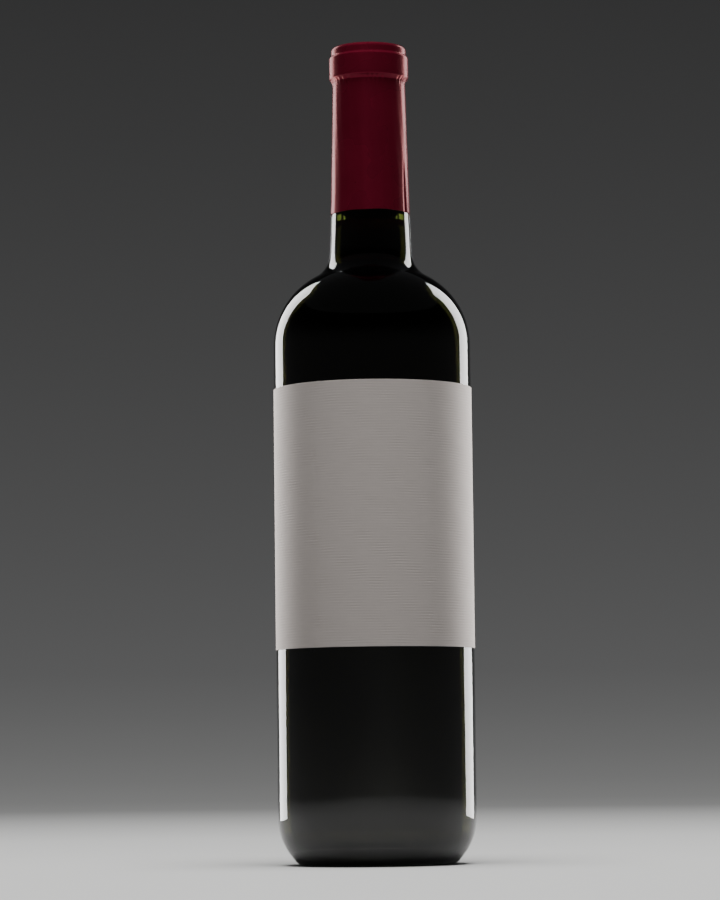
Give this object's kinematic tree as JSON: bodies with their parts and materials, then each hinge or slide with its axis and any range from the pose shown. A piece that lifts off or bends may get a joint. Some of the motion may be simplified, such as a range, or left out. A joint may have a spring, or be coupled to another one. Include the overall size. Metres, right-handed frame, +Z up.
{
  "type": "wine bottle",
  "caption": "Full, shut wine bottle of tall high-shouldered form in dark green glass, with a burgundy foil capsule and a blank ribbed paper label.",
  "frame": {"origin": "middle of the ring that the bottle stands on", "axes": "+Z up along the bottle's axis of revolution, front of the label towards -Y, +X to the right seen from the front"},
  "size_m": [0.0754, 0.0752, 0.312],
  "materials": {
    "green_glass": "dark olive-green bottle glass, fire-polished, faintly wavy from the mould",
    "wine": "clear dark red wine, near black in this thickness",
    "capsule_foil": "burgundy lacquered foil, satin, with fine creases from spinning on",
    "label_paper": "warm off-white uncoated paper with fine ribs running round the bottle"
  },
  "bodies": {
    "root": {"glass_bottle": "green_glass", "wine": "wine", "capsule": "capsule_foil", "label": "label_paper"}
  },
  "joints": []
}
